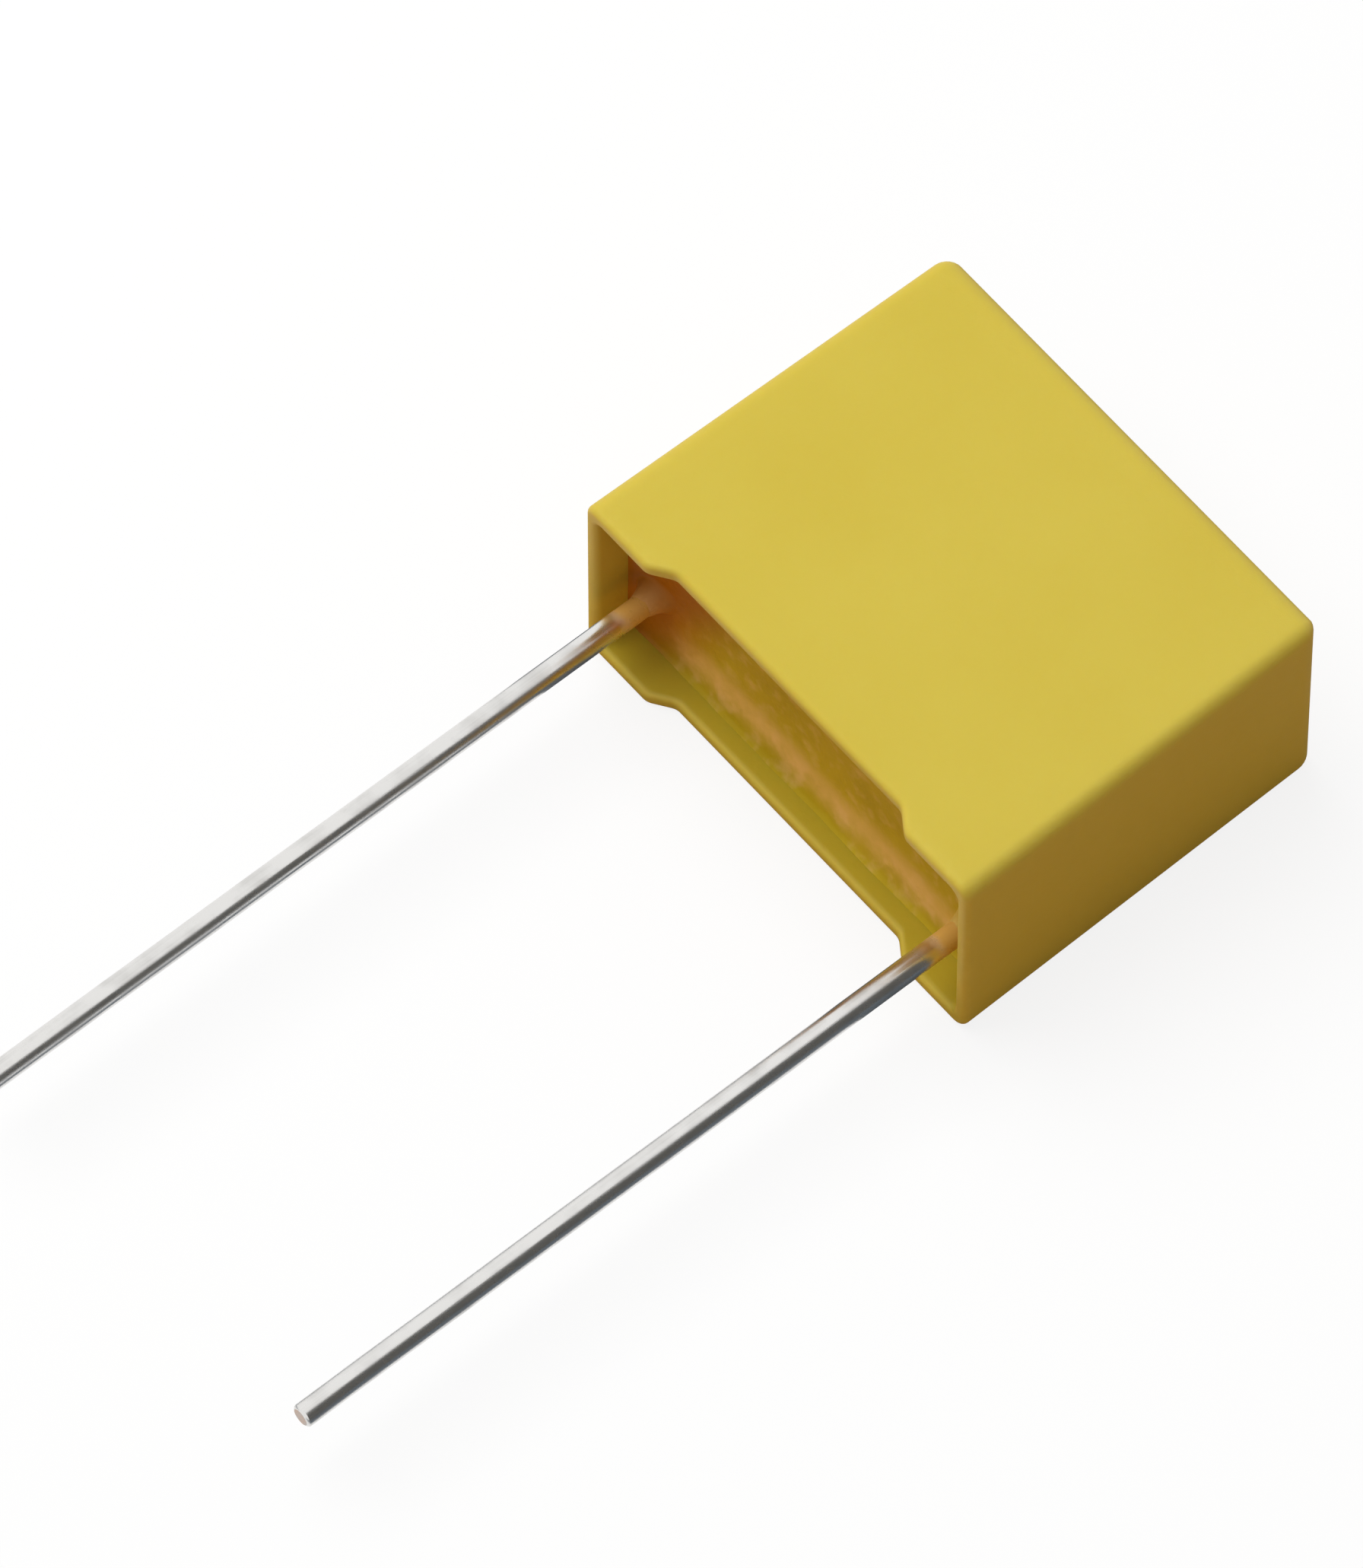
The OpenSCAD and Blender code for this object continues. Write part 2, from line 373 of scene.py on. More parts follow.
def makeLeadTree():
    tree = bpy.data.node_groups.new("drawnLead", "GeometryNodeTree")
    face = tree.interface
    face.new_socket("Geometry", in_out="INPUT", socket_type="NodeSocketGeometry")
    for label in ("Wire Radius", "Tip Bevel", "Bevel Power", "Tip Y", "Neck Start", "Neck End",
                  "Flat Thickness", "Flat Width", "Axis X", "Axis Z", "Cut Facing"):
        face.new_socket(label, in_out="INPUT", socket_type="NodeSocketFloat")
    face.new_socket("Sides", in_out="INPUT", socket_type="NodeSocketInt")
    face.new_socket("Wire Finish", in_out="INPUT", socket_type="NodeSocketMaterial")
    face.new_socket("Cut Finish", in_out="INPUT", socket_type="NodeSocketMaterial")
    face.new_socket("Geometry", in_out="OUTPUT", socket_type="NodeSocketGeometry")
    given = addNode(tree, "NodeGroupInput").outputs
    path = addNode(tree, "GeometryNodeMeshToCurve", {"Mesh": given["Geometry"]})
    spot = addNode(tree, "GeometryNodeInputPosition")
    along = addNode(tree, "ShaderNodeSeparateXYZ", {0: spot.outputs[0]}).outputs
    # The wire's radius shrinks over the bevel of the tip.
    pastTip = calc(tree, "SUBTRACT", along["Y"], given["Tip Y"])
    bevelShare = remap(tree, pastTip, 0.0, given["Tip Bevel"], 1.0, 0.0)
    bevelCurve = calc(tree, "POWER", bevelShare, given["Bevel Power"])
    bevelCut = calc(tree, "MULTIPLY", bevelCurve, given["Tip Bevel"])
    radius = calc(tree, "SUBTRACT", given["Wire Radius"], bevelCut)
    ring = addNode(tree, "GeometryNodeCurvePrimitiveCircle",
                   {"Resolution": given["Sides"], "Radius": 1.0})
    tube = addNode(tree, "GeometryNodeCurveToMesh", {
        "Curve": path.outputs[0], "Profile Curve": ring.outputs["Curve"],
        "Scale": radius, "Fill Caps": True})
    # The inner end is pressed flat: thinner along X and wider along Z.
    wireWidth = calc(tree, "MULTIPLY", given["Wire Radius"], 2.0)
    moved = {}
    for axis, centre, pressedTo in (("X", given["Axis X"], given["Flat Thickness"]),
                                    ("Z", given["Axis Z"], given["Flat Width"])):
        ratio = calc(tree, "DIVIDE", pressedTo, wireWidth)
        scale = remap(tree, along["Y"], given["Neck Start"], given["Neck End"], 1.0, ratio,
                      "SMOOTHSTEP")
        offset = calc(tree, "SUBTRACT", along[axis], centre)
        moved[axis] = calc(tree, "MULTIPLY_ADD", offset, scale, centre)
    target = addNode(tree, "ShaderNodeCombineXYZ",
                     {"X": moved["X"], "Y": along["Y"], "Z": moved["Z"]})
    pressed = addNode(tree, "GeometryNodeSetPosition",
                      {"Geometry": tube.outputs[0], "Position": target.outputs[0]})
    smooth = addNode(tree, "GeometryNodeSetShadeSmooth", {"Geometry": pressed.outputs[0]})
    real = addNode(tree, "GeometryNodeRealizeInstances", {"Geometry": smooth.outputs[0]})
    tinned = addNode(tree, "GeometryNodeSetMaterial",
                     {"Geometry": real.outputs[0], "Material": given["Wire Finish"]})
    normal = addNode(tree, "GeometryNodeInputNormal")
    facing = addNode(tree, "ShaderNodeSeparateXYZ", {0: normal.outputs[0]}).outputs
    isCut = calc(tree, "LESS_THAN", facing["Y"], given["Cut Facing"])
    cut = addNode(tree, "GeometryNodeSetMaterial", {
        "Geometry": tinned.outputs[0], "Selection": isCut, "Material": given["Cut Finish"]})
    addNode(tree, "NodeGroupOutput", {0: cut.outputs[0]})
    return tree


# The wire's centre line, from the tip to the pressed end.
def makeLeadRoute(axisX, tipY, innerY):
    bevelEnd = tipY + leadForm["tipBevel"]
    seatFade, tipFade = leadForm["waverFade"]
    stations = steps(tipY, bevelEnd, leadForm["tipBevel"] / leadForm["bevelSteps"])
    stations += steps(bevelEnd, leadForm["neckStart"], leadForm["step"])[1:]
    stations += steps(leadForm["neckStart"], innerY, leadForm["neckStep"])[1:]
    build = bmesh.new()
    points = []
    for y in stations:
        free = clamp((seatY - y) / seatFade) * clamp((y - tipY) / tipFade)
        phase = y / mm * leadForm["waverScale"]
        swayX = leadForm["waver"] * free * noise.noise(Vector((phase, axisX / mm, 0)))
        swayZ = leadForm["waver"] * free * noise.noise(Vector((0, phase, axisX / mm)))
        points.append(build.verts.new((axisX + swayX, y, leadZ + swayZ)))
    for near, far in zip(points, points[1:]):
        build.edges.new((near, far))
    route = bpy.data.meshes.new("leadRoute")
    build.to_mesh(route)
    build.free()
    return route


def makeLead(side, tree, wireFinish, cutFinish):
    low, high = leadBoxes[side]
    axisX = (low.x + high.x) / 2
    tipY = low.y + leadForm["tipClearance"]
    host = addPiece("leadRoute", makeLeadRoute(axisX, tipY, high.y - leadForm["tipClearance"]))
    modifier = host.modifiers.new("drawnLead", "NODES")
    modifier.node_group = tree
    values = {
        "Wire Radius": leadRadius, "Tip Bevel": leadForm["tipBevel"],
        "Bevel Power": leadForm["bevelPower"], "Tip Y": tipY,
        "Neck Start": leadForm["neckStart"], "Neck End": leadForm["neckEnd"],
        "Flat Thickness": leadForm["flatThickness"], "Flat Width": leadForm["flatWidth"],
        "Axis X": axisX, "Axis Z": leadZ, "Cut Facing": leadForm["cutFacing"],
        "Sides": leadForm["sides"], "Wire Finish": wireFinish, "Cut Finish": cutFinish,
    }
    for item in tree.interface.items_tree:
        if item.in_out == "INPUT" and item.name in values:
            modifier[item.identifier] = values[item.name]
    host.data.update()
    graph = bpy.context.evaluated_depsgraph_get()
    mesh = bpy.data.meshes.new_from_object(host.evaluated_get(graph))
    bpy.data.objects.remove(host)
    build = bmesh.new()
    build.from_mesh(mesh)
    mergeAndTurnOut(build)
    build.to_mesh(mesh)
    build.free()
    mesh.set_sharp_from_angle(angle=math.radians(leadForm["sharpAngle"]))
    mesh.name = side + "Lead"
    return addPiece(side + "Lead", mesh)


# Shader effects that several finishes share.
effectForm = {
    "cloudRange": (0.3, 0.7),   # the noise values that become 0 and 1
    "pitScale": 0.6,            # of the grain's scale
    "pitReach": 0.35,           # of the distance between pits
    "edgeFade": 12.0,           # of the softness, from one wall's share to the other's
}


# An input with None for its value is a vector, and any other is a number.
def newEffect(name, inputs, output):
    tree = bpy.data.node_groups.new(name, "ShaderNodeTree")
    for label, value in inputs.items():
        kind = "NodeSocketVector" if value is None else "NodeSocketFloat"
        socket = tree.interface.new_socket(label, in_out="INPUT", socket_type=kind)
        if value is not None:
            socket.default_value = value
    tree.interface.new_socket(output, in_out="OUTPUT", socket_type="NodeSocketFloat")
    return tree, addNode(tree, "NodeGroupInput").outputs


# Places an effect in a material and gives back its one output.
def useEffect(tree, effect, **inputs):
    node = addNode(tree, "ShaderNodeGroup", node_tree=effect)
    for label, value in inputs.items():
        socket = node.inputs[label]
        if isinstance(value, bpy.types.NodeSocket):
            tree.links.new(value, socket)
        else:
            socket.default_value = value
    return node.outputs[0]


# Soft clouds, from 0 to 1.
def mottleEffect():
    tree, given = newEffect("softMottle", {"Vector": None, "Scale": 200.0, "Detail": 3.0}, "Mask")
    clouds = addNode(tree, "ShaderNodeTexNoise", {
        "Vector": given["Vector"], "Scale": given["Scale"], "Detail": given["Detail"]})
    mask = remap(tree, clouds.outputs["Fac"], *effectForm["cloudRange"], 0.0, 1.0)
    addNode(tree, "NodeGroupOutput", {"Mask": mask})
    return tree


# Fine spark-eroded or cast grain with small pits, as a height.
def grainEffect():
    tree, given = newEffect("fineGrain", {"Vector": None, "Scale": 5000.0, "Pits": 0.5}, "Height")
    bumps = addNode(tree, "ShaderNodeTexNoise",
                    {"Vector": given["Vector"], "Scale": given["Scale"], "Detail": 2.0})
    cellScale = calc(tree, "MULTIPLY", given["Scale"], effectForm["pitScale"])
    cells = addNode(tree, "ShaderNodeTexVoronoi", {"Vector": given["Vector"], "Scale": cellScale})
    reach = effectForm["pitReach"]
    nearCentre = remap(tree, cells.outputs["Distance"], 0.0, reach, 1.0, 0.0)
    pit = calc(tree, "MULTIPLY", nearCentre, given["Pits"])
    height = calc(tree, "SUBTRACT", bumps.outputs["Fac"], pit)
    addNode(tree, "NodeGroupOutput", {"Height": height})
    return tree


# Mask that is 1 along the edges of a block with the given centre and half size.
def edgeEffect():
    tree, given = newEffect("blockEdges", {"Vector": None, "Centre": None, "HalfSize": None,
                                           "Reach": 0.7 * mm}, "Mask")
    away = vectorCalc(tree, "SUBTRACT", given["Vector"], given["Centre"])
    gap = vectorCalc(tree, "SUBTRACT", given["HalfSize"], vectorCalc(tree, "ABSOLUTE", away))
    near = addNode(tree, "ShaderNodeSeparateXYZ", {0: gap}).outputs
    close = [remap(tree, near[axis], 0.0, given["Reach"], 1.0, 0.0) for axis in "XYZ"]
    pairs = [calc(tree, "MULTIPLY", close[a], close[b]) for a, b in ((0, 1), (1, 2), (0, 2))]
    mask = calc(tree, "MAXIMUM", calc(tree, "MAXIMUM", pairs[0], pairs[1]), pairs[2])
    addNode(tree, "NodeGroupOutput", {"Mask": mask})
    return tree


# Mask of a bore's walls, for a bore along Y with the given centre and half size.
# It is 1 on the two walls across Z and fades to EndShare on the two across X.
def boreEffect():
    tree, given = newEffect("boreWalls", {"Vector": None, "Centre": None, "HalfSize": None,
                                          "Softness": 0.05 * mm, "EndShare": 0.0}, "Mask")
    away = vectorCalc(tree, "SUBTRACT", given["Vector"], given["Centre"])
    gap = vectorCalc(tree, "SUBTRACT", given["HalfSize"], vectorCalc(tree, "ABSOLUTE", away))
    room = addNode(tree, "ShaderNodeSeparateXYZ", {0: gap}).outputs
    least = calc(tree, "MINIMUM", room["X"], room["Z"])
    below = calc(tree, "MULTIPLY", given["Softness"], -1.0)
    inside = remap(tree, least, below, 0.0, 0.0, 1.0)
    fade = calc(tree, "MULTIPLY", given["Softness"], effectForm["edgeFade"])
    share = remap(tree, room["Z"], 0.0, fade, 1.0, given["EndShare"])
    addNode(tree, "NodeGroupOutput", {"Mask": calc(tree, "MULTIPLY", inside, share)})
    return tree


# Mask that is 1 on a line along Y through the given point and fades out from there.
def aroundLineEffect():
    tree, given = newEffect("aroundLine", {"Vector": None, "Point": None, "Reach": 1.0 * mm},
                            "Mask")
    away = vectorCalc(tree, "SUBTRACT", given["Vector"], given["Point"])
    flat = vectorCalc(tree, "MULTIPLY", away, (1.0, 0.0, 1.0))
    length = addNode(tree, "ShaderNodeVectorMath", {0: flat}, operation="LENGTH").outputs["Value"]
    mask = remap(tree, length, given["Reach"], 0.0, 0.0, 1.0, "SMOOTHSTEP")
    addNode(tree, "NodeGroupOutput", {"Mask": mask})
    return tree


# Long fine lines along Y, as left by a drawing die.
def drawLineEffect():
    tree, given = newEffect("drawLines", {"Vector": None, "Across": 9000.0, "Along": 120.0},
                            "Height")
    stretch = addNode(tree, "ShaderNodeCombineXYZ",
                      {"X": given["Across"], "Y": given["Along"], "Z": given["Across"]})
    placed = vectorCalc(tree, "MULTIPLY", given["Vector"], stretch.outputs[0])
    lines = addNode(tree, "ShaderNodeTexNoise", {"Vector": placed, "Scale": 1.0, "Detail": 3.0})
    addNode(tree, "NodeGroupOutput", {"Height": lines.outputs["Fac"]})
    return tree


softMottle, fineGrain = mottleEffect(), grainEffect()
blockEdges, boreWalls = edgeEffect(), boreEffect()
aroundLine, drawLines = aroundLineEffect(), drawLineEffect()


def newMaterial(name, ior=1.5, metallic=0.0):
    material = bpy.data.materials.new(name)
    material.use_nodes = True
    tree = material.node_tree
    surface = tree.nodes["Principled BSDF"]
    surface.inputs["IOR"].default_value = ior
    surface.inputs["Metallic"].default_value = metallic
    place = addNode(tree, "ShaderNodeTexCoord").outputs["Object"]
    return material, tree, surface, place


def connect(tree, surface, colour, roughness, normal):
    tree.links.new(colour, surface.inputs["Base Color"])
    tree.links.new(roughness, surface.inputs["Roughness"])
    tree.links.new(normal, surface.inputs["Normal"])


def addBump(tree, height, depth, strength=1.0):
    inputs = {"Height": height, "Distance": depth, "Strength": strength}
    return addNode(tree, "ShaderNodeBump", inputs).outputs["Normal"]


# Scales count waves per metre, and a pair gives the least and the most of a value.
boxFinish = {
    "colour": (0.600, 0.470, 0.043, 1),
    "deepColour": (0.585, 0.450, 0.036, 1),
    "wornColour": (0.640, 0.520, 0.075, 1),
    "recessShadeColour": (0.450, 0.345, 0.012, 1),   # painted shade on the inner walls of the recess
    "recessShade": 0.8,
    "recessShadeSoftness": 0.05 * mm,
    "recessShadeEnds": 0.0,                          # share of the painted shade on the two short inner walls
    "cloudScale": 170.0,
    "fleckScale": 2600.0,
    "wearReach": 0.7 * mm,
    "wear": (0.1, 0.6),                         # along the edges
    "wearFrom": 0.2,
    "roughness": (0.50, 0.58),
    "specular": 0.75,
    "translucency": 0.3,
    "lightReach": (1.0, 0.6, 0.12),             # of the depth, for red, green and blue light
    "lightDepth": 0.5 * mm,
    "grainScale": 6500.0,
    "grainDepth": 0.006 * mm,
    "pits": 0.3,
}


def boxPlasticMaterial():
    material, tree, surface, place = newMaterial("yellowBoxPlastic")
    clouds = useEffect(tree, softMottle, Vector=place, Scale=boxFinish["cloudScale"])
    flecks = useEffect(tree, softMottle, Vector=place, Scale=boxFinish["fleckScale"])
    edges = useEffect(tree, blockEdges, Vector=place, Reach=boxFinish["wearReach"],
                      Centre=(0, (seatY + closedY) / 2, middleZ),
                      HalfSize=(halfLength, (closedY - seatY) / 2, halfThickness))
    grain = useEffect(tree, fineGrain, Vector=place, Scale=boxFinish["grainScale"],
                      Pits=boxFinish["pits"])
    # Painted shade: the recess's inner walls are darker, most of all the two broad walls.
    cavity = useEffect(tree, boreWalls, Vector=place, Centre=(0, 0, middleZ),
                       HalfSize=(cavityLength, 0, cavityThickness),
                       Softness=boxFinish["recessShadeSoftness"], EndShare=boxFinish["recessShadeEnds"])
    base = mixColour(tree, clouds, boxFinish["colour"], boxFinish["deepColour"])
    base = mixColour(tree, calc(tree, "MULTIPLY", cavity, boxFinish["recessShade"]), base,
                     boxFinish["recessShadeColour"])
    wear = remap(tree, flecks, boxFinish["wearFrom"], 1.0, *boxFinish["wear"])
    worn = calc(tree, "MULTIPLY", edges, wear)
    low, high = boxFinish["roughness"]
    gloss = calc(tree, "MULTIPLY_ADD", flecks, (high - low) / 2,
                 remap(tree, clouds, 0.0, 1.0, low, (low + high) / 2))
    connect(tree, surface, mixColour(tree, worn, base, boxFinish["wornColour"]), gloss,
            addBump(tree, grain, boxFinish["grainDepth"]))
    surface.inputs["Specular IOR Level"].default_value = boxFinish["specular"]
    surface.inputs["Subsurface Weight"].default_value = boxFinish["translucency"]
    surface.inputs["Subsurface Radius"].default_value = boxFinish["lightReach"]
    surface.inputs["Subsurface Scale"].default_value = boxFinish["lightDepth"]
    return material


resinFinish = {
    "ior": 1.55,
    "colour": (0.56, 0.40, 0.015, 1),
    "deepColour": (0.47, 0.33, 0.010, 1),
    "paintedLightColour": (0.80, 0.51, 0.14, 1),   # painted light: the pale band where the light falls across the resin
    "paintedLightAt": 1.95 * mm,
    "paintedLightReach": 0.95 * mm,
    "paintedLightPatches": 0.6,                    # how strong the painted light stays where the haze is thinnest
    "paintedShadeColour": (0.42, 0.14, 0.002, 1),   # painted shade at the left end, where the end wall shades the resin
    "paintedShadeFrom": (-6.2 * mm, -3.4 * mm),
    "paintedShadeLean": 0.55,                       # the painted shade reaches further along under the upper wall
    "hazeAndHighlightColour": (0.80, 0.52, 0.20, 1),
    "collarReach": 0.85 * mm,                # painted highlight round each wire where it comes out of the resin
    "collarHighlightShare": 0.85,
    "specular": 0.16,
    "cloudScale": 420.0,
    "hazeScale": 1500.0,
    "hazeDetail": 4.0,
    "hazeFrom": 0.5,
    "haze": 0.35,
    "paintedLightWander": 0.3 * mm,
    "pitScale": 2600.0,
    "pits": 0.9,
    "roughness": (0.36, 0.52),
    "rippleDepth": 0.03 * mm,
    "rippleStrength": 0.6,
}


def resinMaterial():
    material, tree, surface, place = newMaterial("amberResin", ior=resinFinish["ior"])
    clouds = useEffect(tree, softMottle, Vector=place, Scale=resinFinish["cloudScale"])
    haze = useEffect(tree, softMottle, Vector=place, Scale=resinFinish["hazeScale"],
                     Detail=resinFinish["hazeDetail"])
    pits = useEffect(tree, fineGrain, Vector=place, Scale=resinFinish["pitScale"],
                     Pits=resinFinish["pits"])
    base = mixColour(tree, clouds, resinFinish["deepColour"], resinFinish["colour"])
    axes = addNode(tree, "ShaderNodeSeparateXYZ", {0: place}).outputs
    # Painted light: a pale band along the resin at a set height, where the light falls on it.
    wander = calc(tree, "MULTIPLY", calc(tree, "ADD", haze, clouds), resinFinish["paintedLightWander"])
    height = calc(tree, "SUBTRACT", calc(tree, "ADD", axes["Z"], wander), resinFinish["paintedLightAt"])
    paintedLight = remap(tree, calc(tree, "ABSOLUTE", height), resinFinish["paintedLightReach"], 0.0, 0.0, 1.0,
                   "SMOOTHSTEP")
    patches = remap(tree, haze, 0.0, 1.0, resinFinish["paintedLightPatches"], 1.0)
    base = mixColour(tree, calc(tree, "MULTIPLY", paintedLight, patches), base,
                     resinFinish["paintedLightColour"])
    # Painted shade: the resin darkens towards the left end, and further along under the upper wall.
    shadeLow, shadeHigh = resinFinish["paintedShadeFrom"]
    above = calc(tree, "SUBTRACT", axes["Z"], middleZ)
    along = calc(tree, "MULTIPLY_ADD", above, -resinFinish["paintedShadeLean"], axes["X"])
    paintedShade = remap(tree, along, shadeLow, shadeHigh, 1.0, 0.0, "SMOOTHSTEP")
    base = mixColour(tree, paintedShade, base, resinFinish["paintedShadeColour"])
    # Painted highlight: paler resin in a ring round each wire.
    collarHighlights = [useEffect(tree, aroundLine, Vector=place, Reach=resinFinish["collarReach"],
                         Point=(x, 0, leadZ)) for x in (-leadX, leadX)]
    collarHighlight = calc(tree, "MULTIPLY", calc(tree, "MAXIMUM", *collarHighlights), resinFinish["collarHighlightShare"])
    # The haze stays out of the painted shade.
    unshaded = calc(tree, "SUBTRACT", 1.0, paintedShade)
    hazy = remap(tree, haze, resinFinish["hazeFrom"], 1.0, 0.0, resinFinish["haze"])
    hazy = calc(tree, "MULTIPLY", hazy, unshaded)
    # The resin's own random haze and the painted highlight round the wires share one paler colour.
    hazeAndHighlight = calc(tree, "MAXIMUM", hazy, collarHighlight)
    low, high = resinFinish["roughness"]
    connect(tree, surface, mixColour(tree, hazeAndHighlight, base, resinFinish["hazeAndHighlightColour"]),
            remap(tree, haze, 0.0, 1.0, low, high),
            addBump(tree, pits, resinFinish["rippleDepth"], resinFinish["rippleStrength"]))
    surface.inputs["Specular IOR Level"].default_value = resinFinish["specular"]
    return material


wireFinish = {
    "colour": (0.80, 0.79, 0.77, 1),
    "dullColour": (0.58, 0.57, 0.55, 1),
    "cloudScale": 900.0,
    "cloudDetail": 4.0,
    "dullFrom": (0.2, 0.6),
    "dullness": 0.6,
    "roughness": (0.22, 0.34),
    "lineScale": (9000.0, 120.0),                    # across the wire and along it
    "lineDepth": 0.004 * mm,
    "tintColour": (0.88, 0.72, 0.48, 1),             # tin under the thinnest edge of the resin
    "filmColour": (0.67, 0.37, 0.06, 1),             # thin resin that crept along the wire
    "filmFrom": (-7.7 * mm, -7.2 * mm, -6.7 * mm),   # where it tints, then starts to hide, the tin
    "filmWander": 0.35 * mm,
    "filmShare": 0.92,
}


def wireMaterial():
    material, tree, surface, place = newMaterial("tinnedWire")
    across, along = wireFinish["lineScale"]
    lines = useEffect(tree, drawLines, Vector=place, Across=across, Along=along)
    clouds = useEffect(tree, softMottle, Vector=place, Scale=wireFinish["cloudScale"],
                       Detail=wireFinish["cloudDetail"])
    dull = remap(tree, calc(tree, "MULTIPLY", clouds, lines), *wireFinish["dullFrom"], 0.0,
                 wireFinish["dullness"])
    axes = addNode(tree, "ShaderNodeSeparateXYZ", {0: place}).outputs
    filmLow, filmMiddle, filmHigh = wireFinish["filmFrom"]
    filmY = calc(tree, "MULTIPLY_ADD", clouds, wireFinish["filmWander"], axes["Y"])
    tint = remap(tree, filmY, filmLow, filmMiddle, 0.0, 1.0, "SMOOTHSTEP")
    film = remap(tree, filmY, filmMiddle, filmHigh, 0.0, wireFinish["filmShare"], "SMOOTHSTEP")
    tin = mixColour(tree, dull, wireFinish["colour"], wireFinish["dullColour"])
    tinted = mixColour(tree, tint, tin, wireFinish["tintColour"])
    low, high = wireFinish["roughness"]
    connect(tree, surface, mixColour(tree, film, tinted, wireFinish["filmColour"]),
            remap(tree, clouds, 0.0, 1.0, low, high),
            addBump(tree, lines, wireFinish["lineDepth"]))
    tree.links.new(calc(tree, "SUBTRACT", 1.0, film), surface.inputs["Metallic"])
    return material


cutFinish = {
    "colour": (0.62, 0.36, 0.22, 1),
    "smearColour": (0.55, 0.50, 0.46, 1),
    "smearScale": 4200.0,
    "tearScale": 9000.0,
    "tearDepth": 0.01 * mm,
    "tearPits": 0.2,
    "roughness": (0.35, 0.5),
}


def cutEndMaterial():
    material, tree, surface, place = newMaterial("shearedCopper", metallic=1.0)
    smear = useEffect(tree, softMottle, Vector=place, Scale=cutFinish["smearScale"])
    tear = useEffect(tree, fineGrain, Vector=place, Scale=cutFinish["tearScale"],
                     Pits=cutFinish["tearPits"])
    connect(tree, surface, mixColour(tree, smear, cutFinish["colour"], cutFinish["smearColour"]),
            remap(tree, smear, 0.0, 1.0, *cutFinish["roughness"]),
            addBump(tree, tear, cutFinish["tearDepth"]))
    return material


# The sealed inner parts keep their own solids and only take a finish.
sprayFinish = {
    "colour": (0.42, 0.42, 0.43, 1),
    "darkColour": (0.30, 0.30, 0.31, 1),
    "roughness": (0.6, 0.8),
    "cloudScale": 2080.0,
    "grainScale": 5200.0,
    "grainDepth": 0.03 * mm,
    "pits": 0.3,
    "metallic": 0.8,
}
windingFinish = {
    "colour": (0.62, 0.63, 0.65, 1),
    "darkColour": (0.50, 0.51, 0.54, 1),
    "roughness": (0.2, 0.32),
    "cloudScale": 720.0,
    "grainScale": 1800.0,
    "grainDepth": 0.002 * mm,
    "pits": 0.3,
    "metallic": 0.9,
}
wrapFinish = {
    "colour": (0.78, 0.72, 0.46, 1),
    "darkColour": (0.70, 0.62, 0.36, 1),
    "roughness": (0.25, 0.38),
    "cloudScale": 600.0,
    "grainScale": 1500.0,
    "grainDepth": 0.002 * mm,
    "pits": 0.3,
    "metallic": 0.0,
}


def innerMaterial(name, finish):
    material, tree, surface, place = newMaterial(name, metallic=finish["metallic"])
    clouds = useEffect(tree, softMottle, Vector=place, Scale=finish["cloudScale"])
    grain = useEffect(tree, fineGrain, Vector=place, Scale=finish["grainScale"],
                      Pits=finish["pits"])
    low, high = finish["roughness"]
    connect(tree, surface, mixColour(tree, clouds, finish["colour"], finish["darkColour"]),
            remap(tree, clouds, 0.0, 1.0, low, high),
            addBump(tree, grain, finish["grainDepth"]))
    return material


print("moulded box")
boxPiece = addPiece("mouldedBox", makeBoxMesh())
boxPiece.data.materials.append(boxPlasticMaterial())
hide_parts("case")
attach(boxPiece, "root")

print("potting resin")
resinPiece = addPiece("pottingResin", makeResinMesh())
resinPiece.data.materials.append(resinMaterial())
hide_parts("resin_fill")
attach(resinPiece, "root")

print("leads")
leadTree = makeLeadTree()
tinned, sheared = wireMaterial(), cutEndMaterial()
for side in ("left", "right"):
    lead = makeLead(side, leadTree, tinned, sheared)
    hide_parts("lead_" + side)
    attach(lead, "root")

print("sealed inner parts")
sprayedZinc = innerMaterial("sprayedZinc", sprayFinish)
innerMaterials = {
    "film_winding": innerMaterial("metallisedFilm", windingFinish),
    "wrap_film": innerMaterial("plainFilm", wrapFinish),
    "end_spray_left": sprayedZinc,
    "end_spray_right": sprayedZinc,
}
for node, material in innerMaterials.items():
    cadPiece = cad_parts[node]
    if cadPiece.material_slots:
        cadPiece.material_slots[0].material = material
    else:
        cadPiece.data.materials.append(material)


# Pale floor, soft light from the left and a grey card that only reflections show.
studio = {
    "floorSize": 1.6,                        # in metres, as are the lamp's distance and size
    "floorColour": (0.9, 0.9, 0.9, 1),
    "paperRoughness": 0.9,
    "bounceColour": (0.82, 0.48, 0.17, 1),   # what the floor throws back on the object
    "floorGlow": 0.84,                       # share of the floor that shows as plain white
    "glowColour": (1, 1, 1, 1),
    "keyFrom": (-0.42, -0.10, 0.85),
    "keyDistance": 0.32,
    "keySize": 0.3,
    "keyPower": 0.87,                        # in watts
    "keyColour": (1.0, 0.99, 0.97),
    "domeColour": (1, 1, 1, 1),
    "domeTop": 0.62,                         # its strength overhead and at the horizon
    "domeSide": 0.08,
    "cardColour": (0.12, 0.143, 0.17, 1),    # evens out the floor's warm bounce
    "cardsOnFloor": (                        # in mm, X from and to, then Y from and to
        (-16, 30, -9.5, 30),
        (-4.5, 1, -45, -9.5),
        (10.5, 30, -45, -9.5),
    ),
    "cardUpright": (30, -45, 30, 55),        # in mm, X, Y from and to, height
    "cardLift": 0.03 * mm,
}


